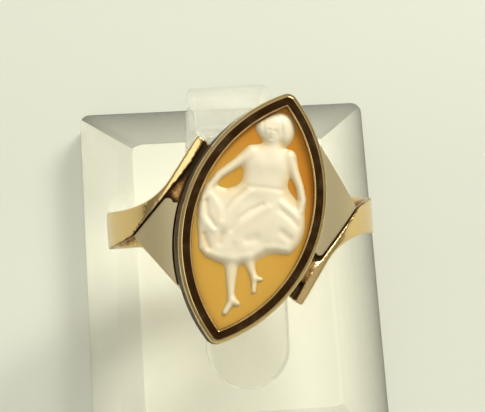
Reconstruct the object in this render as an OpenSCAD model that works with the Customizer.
// A marquise cameo ring hanging on the clip of a clear ring stand.
// Millimetres. +Z is up, +Y is away from the front, and the origin is the middle of the
// stand's underside. The ring is drawn about the middle of its finger hole, with the hole
// along Y and the head up, and is then tipped towards the front onto the clip.

/* [Band] */
// Diameter of the finger hole
bore_d = 17.3; // [15:0.1:20]
// Thickness of the band and of the raised bars
band_t = 1.4; // [1.2:0.05:1.8]
// Width of the band at the shoulders
band_w = 2.75; // [2.2:0.05:3.2]
// Width of the band at the bottom
band_low_w = 2.2; // [1.6:0.05:2.75]

/* [Shoulders] */
// Thickness of the shoulder under the white plate
floor_t = 0.9; // [0.7:0.05:1.1]
// Distance of the bar's free end from the finger hole's middle plane, across
bar_end_x = 3.3; // [3.1:0.05:3.5]
// Distance of the bar's free end from the band's centre line, along the finger
bar_end_y = 6.2; // [5.9:0.05:6.4]
// Slope of the bar towards its free end
bar_angle = 54; // [50:1:57]
// Width of the bar at its free end
bar_end_w = 0.7; // [0.55:0.05:0.8]
// Width of the bar where it bends
bar_bend_w = 0.7; // [0.6:0.05:0.85]
// Length of the bar's straight end before the bend
bar_end_l = 1.9; // [1.6:0.1:2.2]
// Radius of the curve from the band into the bar
bar_curve_r = 4.7; // [4:0.1:5.2]
// Reach of the white plate's outer point from the middle
point_x = 8.25; // [8:0.05:8.5]
// Distance of that point from the band's centre line
point_y = 0.5; // [0.3:0.05:0.7]
// Slope of the left shoulder's free edge
left_edge_angle = 52; // [50:1:55]
// Slope of the right shoulder's free edge
right_edge_angle = 59; // [56:1:61]

/* [White plates] */
// Thickness of a white plate
plate_t = 0.32; // [0.2:0.02:0.4]
// Clearance under a white plate
plate_clear = 0.03; // [0.02:0.01:0.05]
// Width of the dark seam between plate and bar
seam_w = 0.12; // [0.08:0.02:0.2]
// Gap between plate and bezel
plate_gap = 0.1; // [0.06:0.02:0.3]
// Strip of yellow gold left along the free edge
edge_strip = 0.04; // [0.03:0.01:0.1]
// How far the left plate runs up beside the bezel
left_plate_end = 2.3; // [1.8:0.1:2.6]
// How far the right plate runs down beside the bezel
right_plate_end = 3.1; // [2.6:0.1:3.4]
// Radius of the plate's inner corner
plate_corner_r = 0.35; // [0.2:0.05:0.45]

/* [Head] */
// Length of the bezel over its blunt points
head_l = 17.8; // [16.8:0.1:18.5]
// Width of the bezel
head_w = 9.65; // [9.2:0.05:10.1]
// Radius of the blunt points
head_point_r = 0.7; // [0.5:0.05:0.9]
// Turn of the head on the finger, clockwise from above
head_turn = 20.5; // [17:0.5:24]
// Shift of the head across the finger
head_x = 0; // [-0.2:0.05:0.2]
// Shift of the head along the finger
head_y = 0.1; // [-0.2:0.05:0.3]
// Height of the rim above the top of the finger hole
rim_h = 3.75; // [3.4:0.05:4.2]
// Height of the bezel wall
wall_h = 2.9; // [2.6:0.05:3.2]
// Spread of the wall towards its foot
wall_spread = 0.2; // [0.06:0.02:0.24]
// Width of the outer bevel on the rim
bevel_w = 0.24; // [0.16:0.01:0.3]
// Depth of the outer bevel on the rim
bevel_h = 0.2; // [0.14:0.01:0.3]
// Width of the rim, bevel included
rim_w = 0.9; // [0.8:0.02:1]
// Reach of the lip over the cameo's edge
lip_over = 0.18; // [0.1:0.02:0.25]
// Depth of the cameo's face below the rim
cameo_sink = 0.45; // [0.35:0.05:0.6]
// Width of the ledge under the cameo
ledge_w = 0.9; // [0.7:0.05:1.1]

/* [Cameo] */
// Thickness of the orange layer
ground_t = 1.5; // [1.2:0.05:1.7]
// Clearance round and under the cameo
cameo_clear = 0.04; // [0.02:0.01:0.06]
// Height of the white relief above the orange layer
relief_h = 0.6; // [0.4:0.02:0.7]

/* [Stand] */
// Width of the base at the table
base_w = 25; // [23:0.5:28]
// Depth of the base at the table
base_l = 32; // [30:0.5:36]
// Height of the base
base_h = 4.9; // [4:0.1:5.5]
// Width of the slope round the base
slope_w = 4.35; // [3.5:0.05:5]
// Width of the clip strip
clip_w = 5.9; // [5:0.1:6.4]
// Thickness of the clip strip
clip_t = 1.7; // [1.4:0.1:2]
// Outer radius of the clip's back
clip_back_r = 18; // [17:0.5:19]
// How far back the clip bulges from the middle of the base
clip_bulge = 12.5; // [12:0.1:12.8]
// Height of the ring's middle above the clip's furthest point
clip_bulge_drop = 3.9; // [3:0.1:4.6]
// Outer radius of the clip's upper bend
clip_bend_r = 3.2; // [2.8:0.1:3.6]
// Length of the clip's arm in front of the ring's middle, up to its round end
arm_l = 9; // [8:0.1:9.4]
// How far the clip's middle lies to the left of the finger hole's middle
clip_shift = 0.4; // [0:0.1:0.6]
// Clearance between the arm's edges and the finger hole
arm_clear = 0.12; // [0.08:0.02:0.2]

/* [Ring on the stand] */
// Tip of the ring towards the front
ring_tilt = 13; // [11:1:16]
// Turn of the ring on the clip
ring_turn = 0.5; // [0:0.5:2]
// Middle of the finger hole, across the base
ring_x = -0.3; // [-1:0.1:1]
// Middle of the finger hole, towards the back
ring_y = 1.2; // [0.2:0.1:1.4]
// Middle of the finger hole, above the table
ring_z = 17.1; // [17:0.1:17.6]

/* [Hidden] */
$fn = 96;
eps = 0.01;

gold = "#d8b25e";
white_gold = "#b5ad98";
orange_shell = "#d4973a";
white_shell = "#f3ead9";
clear_plastic = "#dfe3d6";

bore_r = bore_d / 2;
band_r = bore_r + band_t;
floor_r = bore_r + floor_t;
half_w = band_w / 2;

// The rim, the cameo and the bezel's foot, as heights above the finger hole's middle
rim_z = bore_r + rim_h;
foot_z = rim_z - wall_h;
face_z = rim_z - cameo_sink;
lip_z = face_z + cameo_clear;
ledge_z = face_z - ground_t - cameo_clear;

// The two long arcs of the head's outline: their radius, and how far each one's middle
// lies across the head's own centre line
point_reach = head_l / 2 - head_point_r;
arc_r = (pow(point_reach, 2) + pow(head_w / 2, 2) - pow(head_point_r, 2)) / (head_w - 2 * head_point_r);
arc_in = arc_r - head_w / 2;

// The left shoulder in plan. The right one is this turned half round.
bar_run = [cos(bar_angle), sin(bar_angle)];
bar_side = [sin(bar_angle), -cos(bar_angle)];
bar_end = [-bar_end_x, bar_end_y];
curve_mid = [-bar_end_x - (bar_end_y - half_w - bar_curve_r * (1 - cos(bar_angle))) / tan(bar_angle)
             - bar_curve_r * sin(bar_angle), half_w + bar_curve_r];
curve = [for (a = [0:4:bar_angle]) curve_mid + bar_curve_r * [sin(a), -cos(a)]];
bar_bend = bar_end - bar_end_l * bar_run + bar_bend_w * bar_side;
plate_point = [-point_x, -point_y];
seam_run = (bar_bend - plate_point) / norm(bar_bend - plate_point);
seam_side = [seam_run[1], -seam_run[0]];

// Where the shoulders' plan runs on under the head, as shares of the head's size
tuck_y = 0.39 * head_l;
under_bar = [0.18 * head_w, -0.18 * head_w];
under_back_y = 0.45 * head_w;
under_front_y = -0.5 * head_w;

// Where a plate's thin tail beside the bezel is cut off
plate_tail_y = 0.33 * head_l;

// How far the solder laps onto the bar
solder_lap = 0.3;

// The stand's clip, as its side view with Y across and Z up. Its foot starts inside the
// base, at this share of the base's height.
clip_sink = 0.8;
ring_mid = [ring_y, ring_z];
arm_run = [cos(ring_tilt), sin(ring_tilt)];
arm_up = [-sin(ring_tilt), cos(ring_tilt)];
clip_x = ring_x - clip_shift;
arm_r = sqrt(pow(bore_r - arm_clear, 2) - pow(clip_w / 2 + clip_shift, 2));
back_mid = [clip_bulge - clip_back_r, ring_z - clip_bulge_drop];
bend_base = ring_mid + (arm_r - clip_bend_r) * arm_up;
bend_off = bend_base - back_mid;
bend_s = -(bend_off * arm_run)
         + sqrt(pow(bend_off * arm_run, 2) - bend_off * bend_off + pow(clip_back_r - clip_bend_r, 2));
bend_mid = bend_base + bend_s * arm_run;
back_top_a = atan2((bend_mid - back_mid)[1], (bend_mid - back_mid)[0]);
back_foot_a = asin((clip_sink * base_h - back_mid[1]) / (clip_back_r - clip_t));

// The figure in plan, in millimetres on a bezel of fig_bezel_w, from the middle of the
// finger hole. Limbs are rows of [across, up, half width].
fig_bezel_w = 9.65;
fig = head_w / fig_bezel_w;
TORSO = [[0.15, 5], [1.2, 4.85], [2.2, 4.65], [2.95, 4.55], [3.2, 4.2], [2.75, 3.5], [2.55, 2.6],
         [2.15, 1.9], [2.1, 1.2], [-0.6, 1.4], [-0.5, 2.3], [-0.3, 3.3], [-0.3, 3.9], [-0.5, 4.5]];
SKIRT = [[-2.6, 2.6], [-1.65, 2.15], [-1, 2.2], [-0.5, 2.4], [2.1, 1.8], [2.05, 1.4], [2.45, 0.85],
         [3.1, 0.35], [3.5, 0], [3.35, -0.6], [2.8, -1.95], [2.4, -2.5], [1.5, -2.35], [0.7, -2.2],
         [-0.3, -2.75], [-1.3, -2.95], [-2.35, -2.75], [-3.4, -2.3], [-3.85, -1.75], [-3.8, -0.1],
         [-3.55, 1.2], [-3.2, 2.3]];
HAIR = [[2.1, 5.98, 1.1], [2.55, 5.45, 0.6]];
FACE = [[1.25, 5.95, 0.5], [1.55, 5.6, 0.5]];
NECK = [[1.85, 5.4, 0.45], [1.7, 4.5, 0.55]];
LEFT_ARM = [[0.1, 4.7, 0.4], [-0.9, 3.9, 0.34], [-2.2, 3.1, 0.32], [-2.85, 2.3, 0.3], [-3.15, 1.5, 0.35]];
RIGHT_ARM = [[2.85, 4.2, 0.38], [3.05, 3.1, 0.33], [3.35, 2, 0.3], [3.5, 1, 0.28], [3.2, 0.2, 0.32]];
STRAIGHT_LEG = [[-1.65, -2.5, 0.5], [-1.7, -3.6, 0.4], [-1.82, -4.9, 0.27], [-1.8, -5.5, 0.28],
                [-2.3, -6.25, 0.2]];
STRAIGHT_HEEL = [[-1.75, -5.4, 0.27], [-1.45, -5.68, 0.2]];
BENT_LEG = [[-0.5, -2.5, 0.4], [-0.32, -3.3, 0.28], [-0.15, -4, 0.24], [-0.3, -4.95, 0.15]];
BENT_HEEL = [[-0.12, -4, 0.22], [0.32, -4.15, 0.14]];
// The skirt's folds run from the hands and the waist to the hem
FOLDS = [
    [[-3, 1.9, 0.25], [-3.3, 0.6, 0.22], [-2.6, -0.2, 0.18]],
    [[-3.45, 0.2, 0.18], [-3.5, -1.4, 0.22], [-2.9, -2, 0.25]],
    [[-1.1, 1.8, 0.22], [-1.9, 1.1, 0.28], [-2.3, 0, 0.3], [-2.4, -1.2, 0.25]],
    [[-0.2, 1.7, 0.25], [-1.1, 0.6, 0.3], [-1.5, -0.8, 0.35], [-1.5, -2.2, 0.3]],
    [[1.2, 1.2, 0.25], [0.3, 0.7, 0.3], [-0.5, -0.2, 0.35], [-0.6, -1.9, 0.35]],
    [[1.8, 0.8, 0.22], [1.5, -0.4, 0.3], [0.6, -1.6, 0.3]],
    [[3, 0, 0.22], [2.3, -0.6, 0.28], [1.6, -1.8, 0.25]],
    [[3.1, -0.6, 0.15], [2.6, -1.7, 0.2], [2.2, -2.1, 0.18]],
];
// Three steps of the relief: how far each draws in from the outline, and its share of
// the relief's height
STEPS = [[0, 0.45], [0.13, 0.72], [0.26, 0.9]];
fold_top = 1;
soft_r = 0.08;

// Places a piece of the ring on the stand.
module on_clip() {
    translate([ring_x, ring_y, ring_z])
    rotate([0, 0, ring_turn])
    rotate([ring_tilt, 0, 0])
    children();
}

// Places what is drawn about the head's own centre line.
module on_head() {
    translate([head_x, head_y, 0])
    rotate([0, 0, -head_turn])
    children();
}

// A disc about Z, or a slice of one. Each row of the profile is [distance outside r,
// height], from below.
module disc(r, profile, slice = 360) {
    last = len(profile) - 1;
    rotate_extrude(angle = slice, $fn = 180)
    polygon(concat([[0, profile[0][1]]],
                   [for (row = profile) [r + row[0], row[1]]],
                   [[0, profile[last][1]]]));
}

// A solid between two long arcs that meet in sharp points.
module lens(profile) {
    intersection() {
        translate([-arc_in, 0, 0]) disc(arc_r, profile);
        translate([arc_in, 0, 0]) disc(arc_r, profile);
    }
}

// Half of the same solid with a blunt point, of the radius point_r where the profile is at
// the distance at. A slice of a small disc takes the place of the sharp point, and the same
// slice of a large disc cuts the sharp point away, so the two faces at the joint are one.
module half_marquise(profile, point_r, at) {
    low = profile[0][1];
    top = profile[len(profile) - 1][1];
    reach = sqrt(pow(arc_r + at - point_r, 2) - pow(arc_in, 2));
    fan = atan(reach / arc_in);
    difference() {
        intersection() {
            lens(profile);
            translate([-head_l, 0, low - 1]) cube([2 * head_l, head_l, top - low + 2]);
        }
        translate([0, reach, 0])
        rotate(fan)
        disc(head_l / 2, [[0, low - 1], [0, top + 1]], 180 - 2 * fan);
    }
    translate([0, reach, 0])
    rotate(fan)
    disc(point_r - at, profile, 180 - 2 * fan);
}

module marquise(profile, point_r, at = 0) {
    half_marquise(profile, point_r, at);
    rotate(180) half_marquise(profile, point_r, at);
}

// A cylinder about the finger hole's axis.
module about_finger(r) {
    rotate([90, 0, 0]) cylinder(r = r, h = 3 * head_l, center = true, $fn = 180);
}

// The lower half of the band, narrower towards the bottom.
module band() {
    intersection() {
        rotate([90, 0, 0]) cylinder(r = band_r, h = 2 * band_w, center = true, $fn = 180);
        rotate([90, 0, 90])
        linear_extrude(3 * band_r, center = true)
        polygon([[-half_w, 0], [half_w, 0], [band_low_w / 2, -band_r - 1], [-band_low_w / 2, -band_r - 1]]);
    }
}

function edge_run(angle) = [cos(angle), -sin(angle)];

// Where the free edge, moved inwards by d, is at the distance y from the band's centre line
function on_edge(angle, y, d = 0) =
    plate_point + edge_run(angle) * (y - point_y + d * cos(angle)) / sin(angle) + d * [sin(angle), cos(angle)];

// The shoulder's plan, from the band to under the head.
module floor_plan(angle) {
    polygon(concat([[-band_r - 1, half_w]],
                   curve,
                   [bar_end],
                   [bar_end + bar_end_w * bar_side],
                   [bar_end + under_bar],
                   [[0, under_back_y]],
                   [[0, under_front_y]],
                   [on_edge(angle, tuck_y)],
                   [on_edge(angle, half_w)],
                   [[-band_r - 1, -half_w]]));
}

// The raised bar's plan.
module bar_plan() {
    polygon(concat([[-band_r - 1, half_w]],
                   curve,
                   [bar_end],
                   [bar_end + bar_end_w * bar_side],
                   [bar_bend],
                   [plate_point],
                   [[-band_r, -half_w]],
                   [[-band_r - 1, -half_w]]));
}

// One shoulder: a thin curved floor with the bar raised along its edge.
module shoulder(angle) {
    intersection() {
        about_finger(floor_r);
        linear_extrude(2 * band_r) floor_plan(angle);
    }
    intersection() {
        about_finger(band_r);
        linear_extrude(2 * band_r) bar_plan();
    }
}

// Solder that fills most of the right shoulder's channel.
module solder() {
    intersection() {
        about_finger(floor_r + 0.75 * (band_t - floor_t));
        linear_extrude(2 * band_r)
        polygon([bar_bend + solder_lap * [-1, 1],
                 bar_bend + solder_lap * [5, 1],
                 [-bar_end_x, right_plate_end],
                 bar_bend + (bar_bend[1] - right_plate_end) * [-1.02, -1]]);
    }
}

// The bezel's wall, and what joins it to the shoulders below.
module bezel() {
    on_head()
    marquise([[wall_spread, foot_z], [0, rim_z - bevel_h], [-bevel_w, rim_z]], head_point_r);
    intersection() {
        on_head()
        marquise([[wall_spread, 0], [wall_spread, foot_z + eps]], head_point_r + wall_spread, wall_spread);
        linear_extrude(2 * band_r)
        union() {
            floor_plan(left_edge_angle);
            rotate(180) floor_plan(right_edge_angle);
        }
    }
}

// The seat: the mouth inside the lip, the pocket, and the open back.
module seat() {
    on_head() {
        lens([[-rim_w, lip_z - eps], [-rim_w, rim_z + 1]]);
        lens([[-rim_w + lip_over, ledge_z], [-rim_w + lip_over, lip_z]]);
        lens([[-rim_w - ledge_w, 0], [-rim_w - ledge_w, ledge_z + eps]]);
    }
}

module gold_mount() {
    color(gold)
    on_clip()
    difference() {
        union() {
            band();
            shoulder(left_edge_angle);
            rotate(180) shoulder(right_edge_angle);
            rotate(180) solder();
            bezel();
        }
        about_finger(bore_r);
        seat();
    }
}

// A white plate's plan: a point at the band, a free edge, and a side along the bezel.
module plate_plan(angle, end_y) {
    corner_mid = plate_point + (seam_w + plate_corner_r) * seam_side
                 + seam_run * ((end_y - plate_corner_r + point_y) / seam_run[1]);
    polygon(concat([plate_point + seam_w * seam_side + 2 * edge_strip * seam_run],
                   [for (a = [135:-15:0]) corner_mid + plate_corner_r * [cos(a), sin(a)]],
                   [[-2, end_y - 1]],
                   [[-2, -plate_tail_y]],
                   [on_edge(angle, plate_tail_y, edge_strip)],
                   [on_edge(angle, point_y + 0.3, edge_strip)]));
}

module plate(angle, end_y, half_turn) {
    rotate(half_turn)
    difference() {
        intersection() {
            about_finger(floor_r + plate_clear + plate_t);
            linear_extrude(2 * band_r) plate_plan(angle, end_y);
        }
        about_finger(floor_r + plate_clear);
        rotate(half_turn)
        on_head()
        marquise([[wall_spread + plate_gap, 0], [wall_spread + plate_gap, 2 * rim_z]],
                 head_point_r + wall_spread + plate_gap, wall_spread + plate_gap);
    }
}

module left_plate() {
    color(white_gold) on_clip() plate(left_edge_angle, left_plate_end, 0);
}

module right_plate() {
    color(white_gold) on_clip() plate(right_edge_angle, right_plate_end, 180);
}

module cameo_ground() {
    out = -rim_w + lip_over - cameo_clear;
    color(orange_shell)
    on_clip()
    on_head()
    lens([[out, face_z - ground_t], [out, face_z]]);
}

// A limb or a fold in plan: round joints, and straight sides between them, drawn in by less.
module limb(rows, less = 0) {
    wide = [for (row = rows) if (row[2] > less + 0.03) row];
    for (row = wide)
        translate([row[0], row[1]]) circle(r = row[2] - less, $fn = 16);
    for (i = [0:1:len(wide) - 2]) {
        a = wide[i];
        b = wide[i + 1];
        from = [a[0], a[1]];
        to = [b[0], b[1]];
        run = (to - from) / norm(to - from);
        side = [-run[1], run[0]];
        polygon([from + (a[2] - less) * side, to + (b[2] - less) * side,
                 to - (b[2] - less) * side, from - (a[2] - less) * side]);
    }
}

// The whole figure in plan, drawn in by less, with its inner corners rounded.
module figure_plan(less) {
    scale(fig)
    offset(r = -soft_r, $fn = 16)
    offset(r = soft_r, $fn = 16) {
        offset(r = -less, $fn = 16) polygon(TORSO);
        offset(r = -less, $fn = 16) polygon(SKIRT);
        for (rows = [HAIR, FACE, NECK, LEFT_ARM, RIGHT_ARM, STRAIGHT_LEG, STRAIGHT_HEEL, BENT_LEG, BENT_HEEL])
            limb(rows, less);
    }
}

module folds_plan() {
    scale(fig)
    offset(r = -soft_r, $fn = 16)
    offset(r = soft_r, $fn = 16)
    for (fold = FOLDS) limb(fold);
}

module cameo_figure() {
    color(white_shell)
    on_clip()
    translate([0, 0, face_z + cameo_clear])
    union() {
        for (i = [0:len(STEPS) - 1]) {
            low = i == 0 ? 0 : 0.5 * STEPS[i - 1][1] * relief_h;
            translate([0, 0, low])
            linear_extrude(STEPS[i][1] * relief_h - low)
            figure_plan(STEPS[i][0]);
        }
        translate([0, 0, 0.3 * relief_h])
        linear_extrude((fold_top - 0.3) * relief_h)
        folds_plan();
    }
}

// A sector of a flat ring, between two angles less than half a turn apart.
module sector(mid, r, t, a0, a1) {
    am = (a0 + a1) / 2;
    far = 3 * r;
    translate(mid)
    intersection() {
        difference() {
            circle(r = r, $fn = 180);
            circle(r = r - t, $fn = 180);
        }
        polygon([[0, 0], far * [cos(a0), sin(a0)], far * [cos(am), sin(am)], far * [cos(a1), sin(a1)]]);
    }
}

// A small block inside the strip, across the joint of two stretches of it.
module joint_block(mid, r, angle) {
    translate(mid)
    rotate(angle)
    translate([r - 0.9 * clip_t, -0.1 * clip_t])
    square([0.8 * clip_t, 0.2 * clip_t]);
}

// The clip's side view behind the ring: the back's arc and the upper bend.
module clip_side() {
    sector(back_mid, clip_back_r, clip_t, back_foot_a, back_top_a);
    joint_block(back_mid, clip_back_r, back_top_a);
    sector(bend_mid, clip_bend_r, clip_t, back_top_a, 90 + ring_tilt);
    joint_block(bend_mid, clip_bend_r, 90 + ring_tilt);
}

// The clip's arm through the finger hole, a flat tongue with a round end.
module clip_arm() {
    translate([clip_x, ring_y, ring_z])
    rotate([ring_tilt, 0, 0])
    translate([0, 0, arm_r - clip_t])
    linear_extrude(clip_t) {
        translate([-clip_w / 2, -arm_l]) square([clip_w, arm_l + bend_s]);
        translate([0, -arm_l]) circle(d = clip_w, $fn = 96);
    }
}

// A block with sloping sides, as the overlap of its two side views.
module base() {
    intersection() {
        rotate([90, 0, 0])
        linear_extrude(2 * base_l, center = true)
        polygon([[-base_w / 2, 0], [base_w / 2, 0], [base_w / 2 - slope_w, base_h], [-base_w / 2 + slope_w, base_h]]);
        rotate([90, 0, 90])
        linear_extrude(2 * base_w, center = true)
        polygon([[-base_l / 2, 0], [base_l / 2, 0], [base_l / 2 - slope_w, base_h], [-base_l / 2 + slope_w, base_h]]);
    }
}

module ring_stand() {
    color(clear_plastic, 0.5)
    union() {
        base();
        translate([clip_x, 0, 0])
        rotate([90, 0, 90])
        linear_extrude(clip_w, center = true)
        clip_side();
        clip_arm();
    }
}

gold_mount();
left_plate();
right_plate();
cameo_ground();
cameo_figure();
ring_stand();
